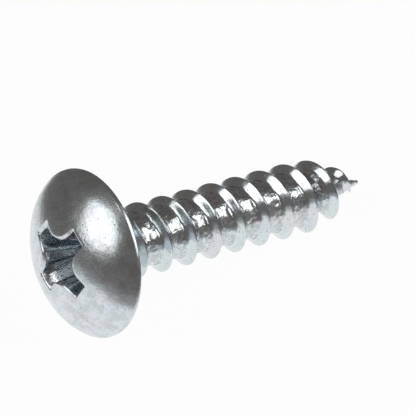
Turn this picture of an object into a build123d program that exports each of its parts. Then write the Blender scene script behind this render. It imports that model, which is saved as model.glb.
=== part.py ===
from build123d import *
import os
from math import acos, atan2, ceil, cos, degrees, hypot, pi, radians, sin, sqrt, tan

# A truss head tapping screw with a spaced thread and a gimlet point, headed and thread rolled
# from one piece of wire. It is modelled along +Z, with the bearing face of the head at z = 0
# and the point at z = +length, and laid down at the end. Sizes are in millimetres.

# Head
head_diameter = 9.45
head_height = 2.54  # from the bearing face to the top of the dome
rim_land = 0.5  # straight edge of the rim, below the dome
dome_round = 0.9  # rolled corner between the dome and the rim
rim_chamfer = 0.08  # broken edge between the rim and the bearing face
rim_flat = 0.02  # least straight edge that the rolled corner and the broken edge leave between them

# Cross recess for a number 2 driver
recess_span = 4.3  # over opposite wings, where they run out of the dome
recess_depth = 2.4  # from that level to the bottom
recess_flank = 26.5  # lean of a wing's outer end from the screw's axis, degrees
recess_point = 146.0  # full angle of the blunt bottom, degrees
wing_width = 1.07  # of a wing at the level of the span
wing_draft = 3.0  # lean of a wing's sides from the axis, degrees
recess_corner_share = 0.72  # round between wings, as a share of how far they stand out
recess_turn = 14.0  # where the wings stand round the axis, degrees
recess_shift_x = -0.2  # how far off the axis the punch struck
recess_shift_y = -0.17

# Neck
neck_diameter = 3.5
neck_length = 0.75
neck_run_out = 0.4  # length of the cone from the neck into the thread's core
run_out_diameter = 2.4  # of that cone's end inside the core
neck_flare = 0.45  # short cone between the neck and the bearing face

# Thread
length = 18.65  # from the bearing face to the tip, of a nominal 19.05
pitch = 1.693  # fifteen threads to the inch
crest_diameter = 4.12
root_diameter = 3.05
thread_angle = 68.0  # between the two flanks, degrees
fade_in = 1.2  # turns over which the crest rises from the bearing face
steps_per_turn = 12  # points that each helical edge passes through in a turn
slope_step = 0.001  # turns over which the direction of an edge is taken
least_height = 0.02  # of the crest over the root, where the thread has faded

# Gimlet point
crest_point_length = 4.2  # over which the crest narrows
crest_bulge = 1.9  # 1 makes the crest's envelope a cone, 2 a round nose
root_point_length = 4.3  # over which the root narrows
nib_length = 1.6  # last stretch of the root, more slender than the rest
nib_overlap = 0.5  # how far its cone goes on inside the shank
nib_diameter = 1.0  # where the nib begins
tip_diameter = 0.12  # blunt end of the nib
thread_end = 0.5  # from the point to the middle of the thread's faded end
fade_out = 0.45  # turns over which the crest sinks into the nib

# Lie
roll = 12.0  # turn of the whole screw about its axis, degrees

head_radius = head_diameter / 2
neck_radius = neck_diameter / 2
crest_radius = crest_diameter / 2
root_radius = root_diameter / 2
nib_radius = nib_diameter / 2

dome_rise = head_height - rim_land
dome_radius = (head_radius**2 + dome_rise**2) / (2 * dome_rise)
dome_turn = acos(head_radius / dome_radius)  # from the dome's edge into the rim
widest_round = (rim_land - rim_chamfer - rim_flat) / tan(dome_turn / 2)

root_slope = (root_radius - nib_radius) / (root_point_length - nib_length)
tip_radius = tip_diameter / 2
nib_slope = (nib_radius - tip_radius) / nib_length

last_middle = length - thread_end
turns = ceil(last_middle / pitch)
first_middle = last_middle - turns * pitch


def corner(sketch, x, y):
    """The sketch's vertex nearest to a point."""
    return sketch.vertices().sort_by_distance((x, y, 0))[0]


def headed_blank():
    """Dome, rim, bearing face and neck, turned about Z."""
    run_out_end = neck_length + neck_run_out
    with BuildPart() as blank:
        with BuildSketch(Plane.XZ) as section:
            with BuildLine():
                dome = TangentArc((0, -head_height), (head_radius, -rim_land), tangent=(1, 0))
                rim = Line(dome @ 1, (head_radius, 0))
                face = Line(rim @ 1, (neck_radius, 0))
                neck = Line(face @ 1, (neck_radius, neck_length))
                cone = Line(neck @ 1, (run_out_diameter / 2, run_out_end))
                Polyline(cone @ 1, (0, run_out_end), (0, -head_height))
            make_face()
            fillet(corner(section.sketch_local, head_radius, -rim_land), min(dome_round, widest_round))
            chamfer(corner(section.sketch_local, head_radius, 0), rim_chamfer)
            chamfer(corner(section.sketch_local, neck_radius, 0), neck_flare)
        revolve(axis=Axis.Z)
    return blank.part


def root_at(z):
    """Radius of the thread's root at a height."""
    narrowing = root_slope * max(z - (length - root_point_length), 0)
    return max(root_radius - narrowing, least_height)


def envelope_at(z):
    """Radius of the full crest at a height."""
    along = min(max((length - z) / crest_point_length, 0), 1)
    return crest_radius * (1 - (1 - along) ** crest_bulge)


def profile(turn):
    """The ridge's foot, crest and other foot after a number of turns, as (z, radius)."""
    beyond = max(turn - turns, 0)
    middle = first_middle + pitch * min(turn, turns) + thread_end / 2 * beyond
    share = min(max(middle / (fade_in * pitch), 0), 1) * min(max((turns - turn) / fade_out, 0), 1)
    foot = root_at(middle)
    height = max((envelope_at(middle) - foot) * share, least_height)
    half_foot = height * tan(radians(thread_angle / 2))
    low, high = middle - half_foot, middle + half_foot
    return [(low, root_at(low)), (middle, foot + height), (high, root_at(high))]


def place(index, turn):
    """Point of the profile in space."""
    z, radius = profile(turn)[index]
    angle = 2 * pi * turn
    return Vector(radius * cos(angle), radius * sin(angle), z)


def helical_edge(index, turn):
    """One turn of the curve that a corner of the profile follows."""
    shares = [step / steps_per_turn for step in range(steps_per_turn + 1)]
    start = (place(index, turn + slope_step) - place(index, turn)) / slope_step
    end = (place(index, turn + 1) - place(index, turn + 1 - slope_step)) / slope_step
    points = [place(index, turn + share) for share in shares]
    return Edge.make_spline(points, tangents=[start, end], parameters=shares, scale=False)


def closing_faces(helix, section):
    """A ramp from one turn of the root to the axis, and the flat face between its two ends."""
    low, high = Vector(0, 0, (helix @ 0).Z), Vector(0, 0, (helix @ 1).Z)
    ramp = Face.make_surface_from_curves(Edge.make_line(low, high), helix)
    return [ramp, Face(Wire.make_polygon([low] + section + [high]))]


def threaded_shank():
    """Core and thread in one closed shell of helical strips, without neck and nib."""
    foot, crest, heel = [[helical_edge(index, turn) for turn in range(turns)] for index in range(3)]
    foot.append(helical_edge(0, turns))
    faces = []
    for turn in range(turns):
        ring = [foot[turn], crest[turn], heel[turn], foot[turn + 1]]
        faces += [Face.make_surface_from_curves(one, other) for one, other in zip(ring, ring[1:])]
    for turn in (0, turns):
        section = [place(index, turn) for index in range(3)] + [place(0, turn + 1)]
        faces += closing_faces(foot[turn], section)
    return Solid(Shell(faces))


def nib():
    """The slender end of the point, which reaches back into the shank."""
    reach = nib_length + nib_overlap
    back, wide = length - reach, tip_radius + nib_slope * reach
    with BuildPart() as cone:
        with BuildSketch(Plane.XZ):
            with BuildLine():
                Polyline((0, length), (tip_radius, length), (wide, back), (0, back), close=True)
            make_face()
        revolve(axis=Axis.Z)
    return cone.part


def dome_at(radius):
    """Height of the dome at a distance from the axis."""
    return dome_radius - head_height - sqrt(dome_radius**2 - radius**2)


def cross_section(depth):
    """The recess's cross at a depth below the level of its span."""
    span = recess_span - 2 * depth * tan(radians(recess_flank))
    width = wing_width - 2 * depth * tan(radians(wing_draft))
    corner_radius = recess_corner_share * (span - width) / 2
    with BuildSketch(Plane.XY.offset(dome_at(recess_span / 2) + depth)) as cross:
        Rectangle(span, width)
        Rectangle(width, span)
        inner = cross.sketch_local.vertices().group_by(lambda v: round(hypot(v.X, v.Y), 6))[0]
        fillet(inner, corner_radius)
    return cross.sketch


def driver_shape():
    """What the driver's point fills: tapered wings with a blunt conical bottom."""
    bottom = dome_at(recess_span / 2) + recess_depth
    top = bottom - recess_depth - head_height
    wings = loft([cross_section(-head_height), cross_section(recess_depth)], ruled=True)
    shoulder = bottom - recess_span / tan(radians(recess_point / 2))
    with BuildPart() as blunt:
        with BuildSketch(Plane.XZ):
            with BuildLine():
                side = Line((recess_span, shoulder), (recess_span, top))
                Polyline(side @ 1, (0, top), (0, bottom), side @ 0)
            make_face()
        revolve(axis=Axis.Z)
    return Pos(recess_shift_x, recess_shift_y) * Rot(Z=recess_turn) * (wings & blunt.part)


def rest_tilt():
    """Tilt at which the rim and the lowest thread crest touch the floor together."""
    tilts = []
    for step in range(turns * steps_per_turn):
        crest = place(1, step / steps_per_turn).rotate(Axis.Z, roll)
        if crest.Z > length / 2:
            tilts.append(atan2(head_radius - crest.X, crest.Z + rim_chamfer))
    return degrees(min(tilts))


screw = headed_blank() + threaded_shank() + nib() - driver_shape()
resting = Rot(Y=90 + rest_tilt()) * Rot(Z=roll) * screw

os.makedirs("parts", exist_ok=True)
export_step(resting, "parts/truss_head_screw.step")
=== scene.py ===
from math import atan2, cos, hypot, pi, radians, sin, sqrt, tan

import bmesh
import bpy
from mathutils import Euler, Matrix, Vector, noise


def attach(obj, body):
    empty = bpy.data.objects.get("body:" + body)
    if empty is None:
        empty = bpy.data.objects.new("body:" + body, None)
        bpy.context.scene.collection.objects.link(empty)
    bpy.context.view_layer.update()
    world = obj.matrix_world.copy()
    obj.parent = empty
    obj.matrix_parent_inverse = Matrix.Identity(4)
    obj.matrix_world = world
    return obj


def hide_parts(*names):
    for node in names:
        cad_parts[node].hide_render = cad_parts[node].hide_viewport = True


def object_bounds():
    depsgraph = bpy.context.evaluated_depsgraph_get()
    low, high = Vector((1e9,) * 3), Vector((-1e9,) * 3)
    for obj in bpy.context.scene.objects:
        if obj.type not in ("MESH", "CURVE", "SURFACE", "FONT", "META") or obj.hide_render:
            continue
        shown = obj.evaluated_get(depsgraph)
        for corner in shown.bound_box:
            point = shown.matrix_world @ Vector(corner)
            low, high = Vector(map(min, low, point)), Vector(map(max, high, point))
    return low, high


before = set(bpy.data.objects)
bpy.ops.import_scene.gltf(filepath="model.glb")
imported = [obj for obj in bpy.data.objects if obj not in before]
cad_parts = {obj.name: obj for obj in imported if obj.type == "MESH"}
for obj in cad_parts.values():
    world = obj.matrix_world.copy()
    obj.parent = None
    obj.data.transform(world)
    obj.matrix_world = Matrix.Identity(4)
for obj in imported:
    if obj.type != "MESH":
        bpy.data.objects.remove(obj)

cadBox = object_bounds()
scene = bpy.context.scene
scene.view_settings.view_transform = "Standard"

# the screw is shaped along +Z in millimetres, bearing face at z = 0, then laid down
lie = {"tilt": 10.401, "roll": 12.0}
layDown = Matrix.Rotation(radians(90 + lie["tilt"]), 4, "Y") @ Matrix.Rotation(radians(lie["roll"]), 4, "Z")
toMetres = Matrix.Scale(0.001, 4)
micrometre = 1e-6


def newObject(name, bm):
    mesh = bpy.data.meshes.new(name)
    bm.to_mesh(mesh)
    bm.free()
    item = bpy.data.objects.new(name, mesh)
    scene.collection.objects.link(item)
    return item


def vertsOf(geom):
    return [g for g in geom if isinstance(g, bmesh.types.BMVert)]


def edgesOf(geom):
    return [g for g in geom if isinstance(g, bmesh.types.BMEdge)]


def wholeOf(bm):
    return bm.verts[:] + bm.edges[:] + bm.faces[:]


def asShare(value):
    return min(max(value, 0), 1)


# camera at the photograph's angle
cameraSet = {
    "azimuth": -36.31,
    "elevation": 37.23,
    "distance": 0.3298,
    "target": (0.0060156, -0.0025786, 0.0019537),
    "lens": 525.7,
    "sensor": 36,
    "clip": (0.01, 50),
}


def addCamera():
    turn, rise = radians(cameraSet["azimuth"]), radians(cameraSet["elevation"])
    away = Vector((sin(turn) * cos(rise), -cos(turn) * cos(rise), sin(rise)))
    data = bpy.data.cameras.new("camera")
    data.lens = cameraSet["lens"]
    data.sensor_width = cameraSet["sensor"]
    data.clip_start, data.clip_end = cameraSet["clip"]
    camera = bpy.data.objects.new("camera", data)
    camera.location = Vector(cameraSet["target"]) + away * cameraSet["distance"]
    camera.rotation_euler = away.to_track_quat("Z", "Y").to_euler()
    scene.collection.objects.link(camera)
    scene.camera = camera


addCamera()
print("camera set")

# head with cross recess
headSize = {
    "radius": 4.718,  # a hair under the solid's, which leaves room for the roughened skin
    "height": 2.54,
    "land": 0.5,
    "edge": 0.28,  # straight edge that is left once the dome has rolled over
    "rollFrom": 4.0,  # radius past which the dome turns down more
    "edgeRound": 0.07,
    "chamfer": 0.12,
    "neckRadius": 1.75,
    "neckLength": 0.75,
    "flare": 0.45,
    "flareRound": 0.2,
    "innerCircle": 2.9,  # radius at which the rings round the recess have become round
    "blendRings": 10,
    "domeRings": 12,
}
recessSize = {
    "halfSpan": 2.15,
    "depth": 2.4,
    "flank": 26.5,
    "point": 146.0,
    "halfWidth": 0.535,
    "draft": 3.0,
    "innerRound": 1.16,
    "outerRound": 0.07,
    "spacing": 0.14,  # between points of the outline
    "band": 0.12,  # narrow ring of the dome outside the lip
    "lip": 0.07,
    "wornLip": 0.15,  # where the punch has dragged the edge down
    "wornTowards": 100.0,  # degrees in the recess's own plan
    "wornSpread": 1.6,  # above 1, a longer stretch is fully worn
    "lipRound": 0.03,
    "wallCuts": 3,
    "turn": 14.0,
    "shift": (-0.2, -0.17),  # the punch stood a little off the axis
}
domeRise = headSize["height"] - headSize["land"]
domeRadius = (headSize["radius"] ** 2 + domeRise**2) / (2 * domeRise)
domeCentre = domeRadius - headSize["height"]  # on the axis
placeRecess = (Matrix.Translation((*recessSize["shift"], 0))
               @ Matrix.Rotation(radians(recessSize["turn"]), 4, "Z"))


def domeAt(radius):
    return domeCentre - sqrt(domeRadius**2 - radius**2)


def rolledAt(radius):
    # the dome, turned down a little more towards its edge
    roll = (radius - headSize["rollFrom"]) / (headSize["radius"] - headSize["rollFrom"])
    return domeAt(radius) + (headSize["land"] - headSize["edge"]) * max(roll, 0) ** 2


def onDome(x, y):
    # a point of the recess's own plan, lifted to the dome
    return Vector((x, y, domeAt((placeRecess @ Vector((x, y, 0))).xy.length)))


def roundOff(bm, geom, offset, segments, affect="EDGES"):
    bmesh.ops.bevel(
        bm, geom=geom, offset=offset, segments=segments, profile=0.5, affect=affect, material=-1
    )


def crossOutline():
    # plan of the recess: a cross with rounded corners, as evenly spaced points
    bm = bmesh.new()
    far, near = recessSize["halfSpan"], recessSize["halfWidth"]
    corners = []
    for turn in range(4):
        spin = Matrix.Rotation(turn * pi / 2, 4, "Z")
        for x, y in ((far, -near), (far, near), (near, near)):
            corners.append(bm.verts.new(spin @ Vector((x, y, 0))))
    bm.faces.new(corners)
    inner = corners[2::3]
    outer = [v for v in corners if v not in inner]
    roundOff(bm, inner, recessSize["innerRound"], segments=10, affect="VERTICES")
    roundOff(bm, outer, recessSize["outerRound"], segments=3, affect="VERTICES")
    bm.faces.ensure_lookup_table()
    ring = [v.co.copy() for v in bm.faces[0].verts]
    bm.free()
    points = []
    for a, b in zip(ring, ring[1:] + ring[:1]):
        cuts = max(1, round((b - a).length / recessSize["spacing"]))
        points += [a.lerp(b, i / cuts) for i in range(cuts)]
    return points


def closedRing(bm, points):
    verts = [bm.verts.new(p) for p in points]
    return [bm.edges.new(pair) for pair in zip(verts, verts[1:] + verts[:1])]


def extrudeRing(bm, edges, place):
    # a new ring of the skin, each of its points moved by place
    geom = bmesh.ops.extrude_edge_only(bm, edges=edges)["geom"]
    for v in vertsOf(geom):
        v.co = place(v.co)
    return edgesOf(geom)


def closeRing(bm, edges, z):
    geom = bmesh.ops.extrude_edge_only(bm, edges=edges)["geom"]
    bmesh.ops.pointmerge(bm, verts=vertsOf(geom), merge_co=(0, 0, z))


def atRadius(radius, z):
    return lambda co: Vector((co.x, co.y, 0)).normalized() * radius + Vector((0, 0, z))


def towardsCircle(share):
    def place(co):
        radius = hypot(co.x, co.y)
        radius += (headSize["innerCircle"] - radius) * share
        return atRadius(radius, domeAt(radius))(co)
    return place


def recessFloorAt(radius):
    bottom = domeAt(recessSize["halfSpan"]) + recessSize["depth"]
    return bottom - radius / tan(radians(recessSize["point"] / 2))


def halfWayIn(co):
    # a ring of the recess's floor
    return Vector((co.x / 2, co.y / 2, recessFloorAt(hypot(co.x, co.y) / 2)))


def downWall(co):
    # follows the driver's taper from the mouth to the blunt cone at the bottom
    start = domeAt(recessSize["halfSpan"])
    far, near = recessSize["halfSpan"], recessSize["halfWidth"]
    onX = abs(co.x) > abs(co.y)
    along, across = (co.x, co.y) if onX else (co.y, co.x)
    share = (abs(along) - near) / (far - near)
    depth = recessSize["depth"]
    for _ in range(6):  # settles quickly, the cone is nearly flat
        lowFar = far - depth * tan(radians(recessSize["flank"]))
        lowNear = near - depth * tan(radians(recessSize["draft"]))
        lowAlong, lowAcross = lowNear + share * (lowFar - lowNear), across * lowNear / near
        depth = recessFloorAt(hypot(lowAlong, lowAcross)) - start
    lowAlong = lowAlong if along > 0 else -lowAlong
    x, y = (lowAlong, lowAcross) if onX else (lowAcross, lowAlong)
    return Vector((x, y, recessFloorAt(hypot(x, y))))


def lipWidth(way):
    # wider where the lip faces the worn side
    worn = radians(recessSize["wornTowards"])
    share = asShare((way.x * cos(worn) + way.y * sin(worn)) * recessSize["wornSpread"])
    return recessSize["lip"] + (recessSize["wornLip"] - recessSize["lip"]) * share


def addRecess(bm):
    # walls and floor, a slanting lip, and a narrow band of the dome round it
    outline = crossOutline()
    ends = zip(outline[-1:] + outline[:-1], outline[1:] + outline[:1])
    outward = [(b - a).normalized().cross(Vector((0, 0, 1))) for a, b in ends]
    rimPoints, mouthPoints, wallPoints = [], [], []
    for p, way in zip(outline, outward):
        start, width = onDome(p.x, p.y), lipWidth(way)
        rimPoints.append(onDome(*(p + way * (width + recessSize["band"])).xy))
        mouthPoints.append(onDome(*(p + way * width).xy))
        wallPoints.append(start.lerp(downWall(start), width / recessSize["depth"]))
    rim, mouth, wall = (closedRing(bm, points) for points in (rimPoints, mouthPoints, wallPoints))
    bmesh.ops.bridge_loops(bm, edges=rim + mouth)
    bmesh.ops.bridge_loops(bm, edges=mouth + wall)
    foot = extrudeRing(bm, wall, downWall)
    top, bottom = ({v for e in ring for v in e.verts} for ring in (wall, foot))
    upright = [e for e in bm.edges if top & set(e.verts) and bottom & set(e.verts)]
    bmesh.ops.subdivide_edges(bm, edges=upright, cuts=recessSize["wallCuts"])
    closeRing(bm, extrudeRing(bm, foot, halfWayIn), recessFloorAt(0))
    bmesh.ops.transform(bm, matrix=placeRecess, verts=bm.verts)
    return mouth + wall, rim


def headMesh():
    bm = bmesh.new()
    lips, edges = addRecess(bm)
    rings = headSize["blendRings"]
    for i in range(rings):
        edges = extrudeRing(bm, edges, towardsCircle(1 / (rings - i)))
    inner, rings = headSize["innerCircle"], headSize["domeRings"]
    for i in range(1, rings):
        radius = inner + (headSize["radius"] - inner) * i / rings
        edges = extrudeRing(bm, edges, atRadius(radius, rolledAt(radius)))
    shoulder = extrudeRing(bm, edges, atRadius(headSize["radius"], -headSize["edge"]))
    rim = extrudeRing(bm, shoulder, atRadius(headSize["radius"], 0))
    face = extrudeRing(bm, rim, atRadius(headSize["neckRadius"] + headSize["flare"], 0))
    flare = extrudeRing(bm, face, atRadius(headSize["neckRadius"], headSize["flare"]))
    extrudeRing(bm, flare, atRadius(headSize["neckRadius"], headSize["neckLength"]))
    bmesh.ops.recalc_face_normals(bm, faces=bm.faces)
    roundOff(bm, lips, recessSize["lipRound"], segments=2)
    roundOff(bm, shoulder, headSize["edgeRound"], segments=4)
    roundOff(bm, rim, headSize["chamfer"], segments=3)
    roundOff(bm, face + flare, headSize["flareRound"], segments=4)
    return bm


# shank: rolled thread and gimlet point
threadSize = {
    "length": 18.65,
    "pitch": 1.693,
    "turns": 11,
    "crest": 2.06,
    "root": 1.525,
    "angle": 68.0,
    "fadeIn": 1.2,  # turns
    "fadeOut": 0.45,
    "crestTaper": 4.2,
    "bulge": 1.9,  # 1 makes the crest's envelope a cone, 2 a round nose
    "rootTaper": 4.3,
    "nibLength": 1.6,
    "nib": 0.5,
    "tip": 0.1,
    "blunt": 0.025,  # how far the worn end stands back from the full length
    "end": 0.5,  # from the point to the middle of the ridge's faded end
    "start": 0.9,  # a little past the neck, which is bridged to it
    "steps": 96,  # in a turn
    "spacing": 0.12,  # between points of the profile
    "weld": 0.001,  # points closer than this become one
    "footRound": 0.2,
    "crestRound": 0.035,
}
fullHeight = threadSize["crest"] - threadSize["root"]
halfFoot = fullHeight * tan(radians(threadSize["angle"] / 2))
firstMiddle = threadSize["length"] - threadSize["end"] - threadSize["turns"] * threadSize["pitch"]


def rootAt(z):
    fromTip = threadSize["length"] - z
    if fromTip < threadSize["nibLength"]:
        slope = (threadSize["nib"] - threadSize["tip"]) / threadSize["nibLength"]
        return threadSize["tip"] + max(fromTip, 0) * slope
    slope = (threadSize["root"] - threadSize["nib"]) / (threadSize["rootTaper"] - threadSize["nibLength"])
    return min(threadSize["root"], threadSize["nib"] + (fromTip - threadSize["nibLength"]) * slope)


def crestAt(z):
    share = asShare((threadSize["length"] - z) / threadSize["crestTaper"])
    return threadSize["crest"] * (1 - (1 - share) ** threadSize["bulge"])


def fromCrest(co):
    # distance along the axis from the middle of the ridge, on the plain endless thread
    pitch = threadSize["pitch"]
    return (co.z - firstMiddle - pitch * atan2(co.y, co.x) / (2 * pi) + pitch / 2) % pitch - pitch / 2


def shapePoint(co):
    # takes a point of the endless thread to its place on the fading, narrowing one
    pitch, angle, offset = threadSize["pitch"], atan2(co.y, co.x), fromCrest(co)
    middle = co.z - offset
    turn = (middle - firstMiddle) / pitch
    fading = asShare(middle / (threadSize["fadeIn"] * pitch))
    fading *= asShare((threadSize["turns"] - turn) / threadSize["fadeOut"])
    height = max((crestAt(middle) - rootAt(middle)) * fading, 0)
    foot = halfFoot * height / fullHeight
    if abs(offset) < halfFoot:
        newOffset = offset * height / fullHeight
    else:
        beyond = (abs(offset) - halfFoot) / (pitch / 2 - halfFoot)
        newOffset = (foot + beyond * (pitch / 2 - foot)) * (1 if offset > 0 else -1)
    z = middle + newOffset
    radius = rootAt(z) + (hypot(co.x, co.y) - threadSize["root"]) / fullHeight * height
    return Vector((radius * cos(angle), radius * sin(angle), z))


def threadProfile(bm):
    # one pitch of the thread, from the middle of a root to the next, with rounded corners
    pitch, root, crest = threadSize["pitch"], threadSize["root"], threadSize["crest"]
    corners = [(root, -pitch / 2), (root, -halfFoot), (crest, 0), (root, halfFoot), (root, pitch / 2)]
    verts = [bm.verts.new((radius, 0, firstMiddle + z)) for radius, z in corners]
    for pair in zip(verts, verts[1:]):
        bm.edges.new(pair)
    roundOff(bm, [verts[2]], threadSize["crestRound"], segments=3, affect="VERTICES")
    roundOff(bm, [verts[1], verts[3]], threadSize["footRound"], segments=4, affect="VERTICES")
    spacing = threadSize["spacing"]
    for e in [e for e in bm.edges if e.calc_length() > spacing]:
        bmesh.ops.subdivide_edges(bm, edges=[e], cuts=round(e.calc_length() / spacing))


def threadMesh():
    bm = bmesh.new()
    threadProfile(bm)
    pitch, steps, weld = threadSize["pitch"], threadSize["steps"], threadSize["weld"]
    bmesh.ops.spin(  # it climbs one pitch, so its ends don't meet and nothing is merged
        bm, geom=wholeOf(bm), cent=(0, 0, 0), axis=(0, 0, 1), dvec=(0, 0, pitch / steps),
        angle=2 * pi, steps=steps, use_merge=False, use_duplicate=False,
    )
    turn = wholeOf(bm)
    for count in range(1, threadSize["turns"] + 1):
        copy = bmesh.ops.duplicate(bm, geom=turn)["geom"]
        bmesh.ops.translate(bm, verts=vertsOf(copy), vec=(0, 0, count * pitch))
    bmesh.ops.remove_doubles(bm, verts=bm.verts, dist=weld)
    for v in bm.verts:
        v.co = shapePoint(v.co)
    end = threadSize["length"] - threadSize["blunt"]
    for level, pastEnd in ((threadSize["start"], False), (end, True)):
        bmesh.ops.bisect_plane(
            bm, geom=wholeOf(bm), plane_co=(0, 0, level), plane_no=(0, 0, 1),
            clear_outer=pastEnd, clear_inner=not pastEnd, dist=weld / 10,
        )
    bmesh.ops.remove_doubles(bm, verts=bm.verts, dist=weld * 2)
    tip = [e for e in bm.edges if e.is_boundary and e.verts[0].co.z > threadSize["length"] / 2]
    bmesh.ops.holes_fill(bm, edges=tip, sides=0)
    return bm


# one blank: the thread is bridged to the neck, then roughened as rolling and plating leave it
roughSize = {
    "head": 0.004,  # the first five are about how far each place is pushed in or out
    "recess": 0.03,
    "flank": 0.009,
    "root": 0.045,
    "tip": 0.05,
    "tipLength": 2.6,
    "tipLimit": 0.4,  # of the radius
    "flankRise": 3,  # above 1, the root's dents fade out low on the ridge
    "recessFrom": 0.01,  # depth under the dome
    "coarse": 1.5,  # waves to the millimetre
    "fine": 3.4,
    "fineShare": 0.6,
    "sharp": 42.0,  # degrees, past which an edge is shaded sharp
}


def dentAt(co):
    # how far rolling may have pushed the surface at a point
    radius = hypot(co.x, co.y)
    if co.z < 0:
        deep = domeRadius - (co - Vector((0, 0, domeCentre))).length
        inRecess = deep > roughSize["recessFrom"] and radius < headSize["innerCircle"]
        return roughSize["recess"] if inRecess else roughSize["head"]
    onFlank = asShare((radius - rootAt(co.z)) / fullHeight * roughSize["flankRise"])
    dent = roughSize["root"] + (roughSize["flank"] - roughSize["root"]) * onFlank
    towardsTip = asShare(1 - (threadSize["length"] - co.z) / roughSize["tipLength"])
    return min(dent + (roughSize["tip"] - dent) * towardsTip, radius * roughSize["tipLimit"])


def roughen(bm):
    bm.normal_update()
    moves = []
    for v in bm.verts:
        wave = noise.noise(v.co * roughSize["coarse"])
        wave += roughSize["fineShare"] * noise.noise(v.co * roughSize["fine"])
        moves.append(v.normal * wave * dentAt(v.co))
    for v, move in zip(bm.verts, moves):
        v.co += move


def screwMesh():
    bm = headMesh()
    shank = threadMesh()
    thread = bpy.data.meshes.new("thread")
    shank.to_mesh(thread)
    shank.free()
    bm.from_mesh(thread)
    bpy.data.meshes.remove(thread)
    bmesh.ops.bridge_loops(bm, edges=[e for e in bm.edges if e.is_boundary])
    bmesh.ops.recalc_face_normals(bm, faces=bm.faces)
    roughen(bm)
    bmesh.ops.transform(bm, matrix=toMetres @ layDown, verts=bm.verts)
    for face in bm.faces:
        face.smooth = True
    return bm


screw = newObject("truss_head_screw_body", screwMesh())
screw.data.set_sharp_from_angle(angle=radians(roughSize["sharp"]))
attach(screw, "root")
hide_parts("truss_head_screw")
print("screw", len(screw.data.polygons), "faces")


class Wire:
    # one output of a node, so that a pattern reads as plain sums
    def __init__(self, socket):
        self.socket = socket

    def feed(self, inputs):
        # sets or links sockets of this wire's own node
        for key, value in inputs.items():
            target = self.socket.node.inputs[key]
            if isinstance(value, Wire):
                self.socket.id_data.links.new(value.socket, target)
            else:
                target.default_value = value

    def node(self, kind, settings, inputs, output=0):
        # any other node of the same tree
        made = self.socket.id_data.nodes.new(kind)
        for key, value in settings.items():
            setattr(made, key, value)
        wire = Wire(made.outputs[output])
        wire.feed(inputs)
        return wire

    def math(self, operation, second=0.0):
        return self.node("ShaderNodeMath", {"operation": operation}, {0: self, 1: second})

    def __add__(self, other):
        return self.math("ADD", other)

    def __sub__(self, other):
        return self.math("SUBTRACT", other)

    def __rsub__(self, other):
        return self.node("ShaderNodeMath", {"operation": "SUBTRACT"}, {0: other, 1: self})

    def __mul__(self, other):
        return self.math("MULTIPLY", other)

    __radd__ = __add__
    __rmul__ = __mul__

    def rise(self, low, high):
        # 0 up to low, 1 past high, smooth between
        inputs = {"Value": self, "From Min": low, "From Max": high}
        return self.node("ShaderNodeMapRange", {"interpolation_type": "SMOOTHSTEP"}, inputs)

    def noise(self, scale, detail, roughness):
        inputs = {"Vector": self, "Scale": scale, "Detail": detail, "Roughness": roughness}
        return self.node("ShaderNodeTexNoise", {}, inputs)

    def stretched(self, scale, turn):
        return self.node("ShaderNodeMapping", {}, {"Vector": self, "Scale": scale, "Rotation": turn})

    def blend(self, first, second):
        # this wire is the share of the second colour
        return self.node("ShaderNodeMix", {"data_type": "RGBA"}, {0: self, 6: first, 7: second}, 2)


def newShader(name):
    material = bpy.data.materials.new(name)
    material.use_nodes = True
    return material, Wire(material.node_tree.nodes["Principled BSDF"].outputs[0])


# bright zinc plate: pale and a little blue, with faint green and pink stains, and painted shade in the
# thread's roots and in the recess
# noise holds a pattern's waves to the millimetre, its detail and its roughness, rise the two values of
# the pattern between which its colour comes in, and share the strength of that colour
# heights and depths are in micrometres
zinc = {
    "blue": (0.68, 0.745, 0.80, 1),
    "green": (0.70, 0.77, 0.775, 1),
    "pink": (0.755, 0.75, 0.775, 1),
    # grime on the grain, streaks and scratches, and painted shade in the thread's roots
    "grimeAndShade": (0.40, 0.40, 0.40, 1),
    "dull": (0.50, 0.52, 0.54, 1),
    "pitted": (0.16, 0.15, 0.15, 1),
    # shaded is painted shade, darker and bluer, inside the recess
    "shaded": (0.56, 0.60, 0.63, 1),  # in the recess
    "rough": {"head": 0.25, "thread": 0.15, "recess": 0.15, "root": 0.06, "grain": 0.2, "stain": 0.12},
    "grain": {"noise": (7.0, 3, 0.65), "height": 4.5, "lessOnThread": 0.7, "lessInRecess": 0.8,
              "rise": (0.5, 0.72), "share": 0.4},
    "peel": {"noise": (2.6, 3, 0.55), "height": 10.0},
    "stain": {"noise": (0.8, 3, 0.6), "rise": (0.4, 0.6)},
    "otherStain": {"noise": (1.1, 2, 0.5), "turn": (1.1, 0.4, 2.0), "rise": (0.5, 0.7)},
    "mottle": {"noise": (1.5, 4, 0.65), "rise": (0.4, 0.6), "share": 0.55, "lessOnThread": 0.38},
    "lump": {"noise": (2.2, 1, 0.45), "height": 60.0},
    # the dent pattern's rise and share also darken the roots between the ridges, as painted shade
    "dent": {"noise": (5.0, 2, 0.5), "height": 30.0, "inRecess": 0.5, "onThread": 0.1, "onRoot": 0.9,
             "rise": (0.44, 0.56), "share": 0.5},
    "streak": {"noise": (14.0, 3, 0.6), "height": 2.5, "wrap": 0.4, "along": 0.12,
               "rise": (0.42, 0.6), "share": 0.12},
    "scratch": {"noise": (1.1, 1, 0.4), "width": 0.006, "from": (0.5, 2.0), "depth": 1.5, "share": 0.4},
    "pit": {"scale": 4.0, "chosen": 0.35, "size": 0.2, "core": 0.4, "depth": 5.0, "share": 0.8},
}
# where one finish turns into another, in millimetres
border = {
    "thread": (0.3, 0.7),  # height
    "root": (-0.1, 0.4),  # of a wave that is 1 on the crest and -1 between two ridges
    "recessDepth": (0.05, 0.3),  # under the dome
    "recessRadius": (2.5, 2.6),
    "faceHeight": (-0.3, -0.1),  # what lies higher and wider than these two is the bearing face
    "faceRadius": (1.3, 1.5),
}


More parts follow.
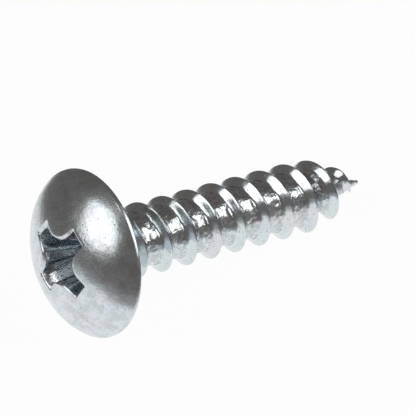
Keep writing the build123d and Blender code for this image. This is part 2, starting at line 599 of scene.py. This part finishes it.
def screwFrame(shader):
    # the screw's own frame in millimetres, with the depth under the dome and the thread's phase
    upright = Euler((0, -radians(90 + lie["tilt"]), -radians(lie["roll"])))
    objectPlace = shader.node("ShaderNodeTexCoord", {}, {}, "Object")
    place = objectPlace.stretched((1000, 1000, 1000), upright)
    x, y, z = (place.node("ShaderNodeSeparateXYZ", {}, {0: place}, axis) for axis in range(3))
    phase = (z - firstMiddle) * (2 * pi / threadSize["pitch"]) - y.math("ARCTAN2", x)
    return {
        "place": place,
        "x": x,
        "z": z,
        "radius": (x * x + y * y).math("SQRT"),
        "deep": domeRadius - (x * x + y * y + (z - domeCentre) * (z - domeCentre)).math("SQRT"),
        "ridge": phase.math("COSINE"),
        "climb": phase.math("SINE"),
    }


def finishShares(at):
    # how far a place belongs to the thread, to its roots and to the recess
    thread = at["z"].rise(*border["thread"])
    root = thread * (1 - at["ridge"].rise(*border["root"]))
    face = at["z"].rise(*border["faceHeight"]) * at["radius"].rise(*border["faceRadius"])
    inside = at["deep"].rise(*border["recessDepth"]) * (1 - at["radius"].rise(*border["recessRadius"]))
    return {"thread": thread, "root": root, "recess": inside * (1 - face)}


def scratchLines(at, on):
    # thin winding lines, on one side of the head only
    contour = at["place"].noise(*zinc["scratch"]["noise"]) - 0.5
    line = 1 - contour.math("ABSOLUTE").rise(0, zinc["scratch"]["width"])
    return line * at["x"].rise(*zinc["scratch"]["from"]) * (1 - on["thread"])


def pitSpots(place):
    # small round pits, in some of the cells
    cells = {"Vector": place, "Scale": zinc["pit"]["scale"]}
    fromPit = place.node("ShaderNodeTexVoronoi", {}, cells, "Distance")
    cellColour = place.node("ShaderNodeTexVoronoi", {}, cells, "Color")
    chosen = place.node("ShaderNodeSeparateColor", {}, {0: cellColour}, 0)
    spot = 1 - fromPit.rise(zinc["pit"]["size"] * zinc["pit"]["core"], zinc["pit"]["size"])
    return spot * chosen.math("LESS_THAN", zinc["pit"]["chosen"])


def rollStreaks(at):
    # they run along the thread, so they follow its phase
    wrap, along = zinc["streak"]["wrap"], zinc["streak"]["along"]
    around = {0: at["ridge"] * wrap, 1: at["climb"] * wrap, 2: at["radius"] + at["z"] * along}
    return at["place"].node("ShaderNodeCombineXYZ", {}, around).noise(*zinc["streak"]["noise"])


def plateMarks(at, on):
    plain = ("grain", "peel", "stain", "mottle", "lump", "dent")
    marks = {name: at["place"].noise(*zinc[name]["noise"]) for name in plain}
    turned = at["place"].stretched((1, 1, 1), zinc["otherStain"]["turn"])
    marks["otherStain"] = turned.noise(*zinc["otherStain"]["noise"])
    marks["streak"] = rollStreaks(at)
    marks["scratch"] = scratchLines(at, on)
    marks["pit"] = pitSpots(at["place"])
    return marks


def plateHeight(marks, on):
    grain, dent = zinc["grain"], zinc["dent"]
    calm = 1 - grain["lessOnThread"] * on["thread"] - grain["lessInRecess"] * on["recess"]
    height = marks["grain"] * calm * grain["height"] + marks["peel"] * zinc["peel"]["height"]
    height = height - marks["pit"] * zinc["pit"]["depth"] - marks["scratch"] * zinc["scratch"]["depth"]
    height = height + marks["streak"] * zinc["streak"]["height"] * on["thread"]
    height = height + marks["lump"] * zinc["lump"]["height"] * on["root"]
    dented = on["recess"] * dent["inRecess"] + on["thread"] * dent["onThread"] + on["root"] * dent["onRoot"]
    return height + marks["dent"] * dent["height"] * dented


def plateColour(marks, on):
    def shown(name):
        return marks[name].rise(*zinc[name]["rise"])
    colour = shown("stain").blend(zinc["blue"], zinc["green"])
    colour = shown("otherStain").blend(colour, zinc["pink"])
    colour = (shown("grain") * zinc["grain"]["share"]).blend(colour, zinc["grimeAndShade"])
    dulled = zinc["mottle"]["share"] - zinc["mottle"]["lessOnThread"] * on["thread"]
    colour = (shown("mottle") * dulled).blend(colour, zinc["dull"])
    # on the roots the dents darken the colour as painted shade; along the thread the streaks are grime
    for name, where in (("dent", "root"), ("streak", "thread")):
        colour = (shown(name) * on[where] * zinc[name]["share"]).blend(colour, zinc["grimeAndShade"])
    for name, tint in (("scratch", "grimeAndShade"), ("pit", "pitted")):
        colour = (marks[name] * zinc[name]["share"]).blend(colour, zinc[tint])
    # painted shade: the recess takes the darker shaded colour
    return on["recess"].blend(colour, zinc["shaded"])


def plateRoughness(marks, on):
    rough = zinc["rough"]
    value = rough["head"] + (rough["thread"] - rough["head"]) * on["thread"]
    for name in ("grain", "stain"):
        value = value + (marks[name] - 0.5) * rough[name]
    value = value + on["root"] * rough["root"]
    return value * (1 - on["recess"]) + rough["recess"] * on["recess"]


def zincMaterial():
    material, shader = newShader("zincPlate")
    at = screwFrame(shader)
    on = finishShares(at)
    marks = plateMarks(at, on)
    relief = {"Height": plateHeight(marks, on), "Strength": 1.0, "Distance": micrometre}
    shader.feed({
        "Base Color": plateColour(marks, on),
        "Roughness": plateRoughness(marks, on),
        "Metallic": 1.0,
        "Normal": shader.node("ShaderNodeBump", {}, relief),
    })
    return material


screw.data.materials.append(zincMaterial())
print("zinc plate made")

# pale floor, dark cards round the screw that only reflections show, and soft lamps; the cards glow with a
# painted reflection of a dark room, paler at their foot
roomSize = {
    "floorColour": (0.95, 0.95, 0.95, 1),
    "floorRadius": 4,
    "glow": 0.96,
    "cardCentre": (0.004, 0.0057),
    "cardReach": (0.025, 0.0143),
    "cardHeight": (0.008, 0.0095),  # on the camera's side and behind
    "cardFade": 0.5,  # of the lower height, where the foot's colour has ended
    # the cards' glow, a painted reflection: pale at the foot, dark at the top
    "cardFootGlow": (0.45, 0.45, 0.45, 1),
    "cardTopGlow": (0.146, 0.134, 0.128, 1),
    "world": (0.14, 0.128, 0.122, 1),
}
floorLevel = cadBox[0][2]


def floorMaterial():
    # white to the camera and to what mirrors it, and still darker in the shadow
    material, shader = newShader("paper")
    shader.feed({"Base Color": roomSize["floorColour"], "Roughness": 1.0})
    seen = shader.node("ShaderNodeLightPath", {}, {}, "Is Camera Ray")
    for ray in ("Is Glossy Ray", "Is Transmission Ray"):
        seen = seen.math("MAXIMUM", shader.node("ShaderNodeLightPath", {}, {}, ray))
    glow = shader.node("ShaderNodeEmission", {}, {"Color": (1, 1, 1, 1)})
    mixed = shader.node("ShaderNodeMixShader", {}, {0: seen * roomSize["glow"], 1: shader, 2: glow})
    material.node_tree.links.new(mixed.socket, material.node_tree.nodes["Material Output"].inputs["Surface"])
    return material


def addFloor():
    bm = bmesh.new()
    place = Matrix.Translation((0, 0, floorLevel))
    bmesh.ops.create_circle(bm, cap_ends=True, segments=64, radius=roomSize["floorRadius"], matrix=place)
    floor = newObject("floor", bm)
    floor.data.materials.append(floorMaterial())


# painted reflection: the cards glow, pale at the foot and dark above, with no lamp in them
def cardMaterial():
    material, shader = newShader("card")
    place = shader.node("ShaderNodeTexCoord", {}, {}, "Object")
    height = shader.node("ShaderNodeSeparateXYZ", {}, {0: place}, 2) - floorLevel
    fade = height.rise(0, roomSize["cardHeight"][0] * roomSize["cardFade"])
    colour = fade.blend(roomSize["cardFootGlow"], roomSize["cardTopGlow"])
    shader.feed({"Base Color": (0, 0, 0, 1), "Roughness": 1.0})
    shader.feed({"Emission Color": colour, "Emission Strength": 1.0})
    return material


def addCards():
    # one oval wall, a little lower on the camera's side
    centre, reach = roomSize["cardCentre"], roomSize["cardReach"]
    low, high = roomSize["cardHeight"]
    bm = bmesh.new()
    oval = Matrix.Translation((*centre, floorLevel)) @ Matrix.Diagonal((*reach, 1, 1))
    bmesh.ops.create_circle(bm, segments=96, radius=1, matrix=oval)
    wall = bmesh.ops.extrude_edge_only(bm, edges=bm.edges[:])["geom"]
    for v in vertsOf(wall):
        far = (v.co.y - centre[1]) / reach[1] / 2 + 0.5
        v.co.z += low + (high - low) * far
    cards = newObject("cards", bm)
    cards.data.materials.append(cardMaterial())
    cards.visible_camera = cards.visible_diffuse = cards.visible_shadow = cards.visible_transmission = False


addFloor()
addCards()
world = bpy.data.worlds.new("room")
world.use_nodes = True
world.node_tree.nodes["Background"].inputs["Color"].default_value = roomSize["world"]
scene.world = world

# core is the share of a lamp's width that is fully bright
lampSet = {
    "left": {"azimuth": 178, "elevation": 39, "size": (0.42, 0.44), "radiance": 1.65, "core": 0.75},
    "right": {"azimuth": -38, "elevation": 31, "size": (0.38, 0.4), "radiance": 2.0, "core": 0.7},
    "above": {"azimuth": -131, "elevation": 84, "size": (0.09, 0.09), "radiance": 3.0, "core": 0.6},
}
lampDistance = 0.4


def addLamp(name, lamp):
    # an oval softbox whose edge fades from its core outwards
    turn, rise = radians(lamp["azimuth"]), radians(lamp["elevation"])
    way = Vector((cos(turn) * cos(rise), sin(turn) * cos(rise), sin(rise)))
    data = bpy.data.lights.new(name, "AREA")
    data.shape = "ELLIPSE"
    data.size, data.size_y = lamp["size"]
    data.energy = lamp["radiance"] * pi * (data.size * data.size_y * pi / 4)
    data.use_nodes = True
    emission = Wire(data.node_tree.nodes["Emission"].outputs[0])
    across = emission.node("ShaderNodeNewGeometry", {}, {}, "Parametric")
    middle = {0: across, 1: (0.5, 0.5, 0)}
    fromMiddle = emission.node("ShaderNodeVectorMath", {"operation": "DISTANCE"}, middle, 1)
    emission.feed({"Strength": 1 - fromMiddle.rise(lamp["core"] / 2, 0.5)})
    item = bpy.data.objects.new(name, data)
    item.location = way * lampDistance
    item.rotation_euler = way.to_track_quat("Z", "Y").to_euler()
    scene.collection.objects.link(item)


for name, lamp in lampSet.items():
    addLamp(name, lamp)
print("floor and light set")
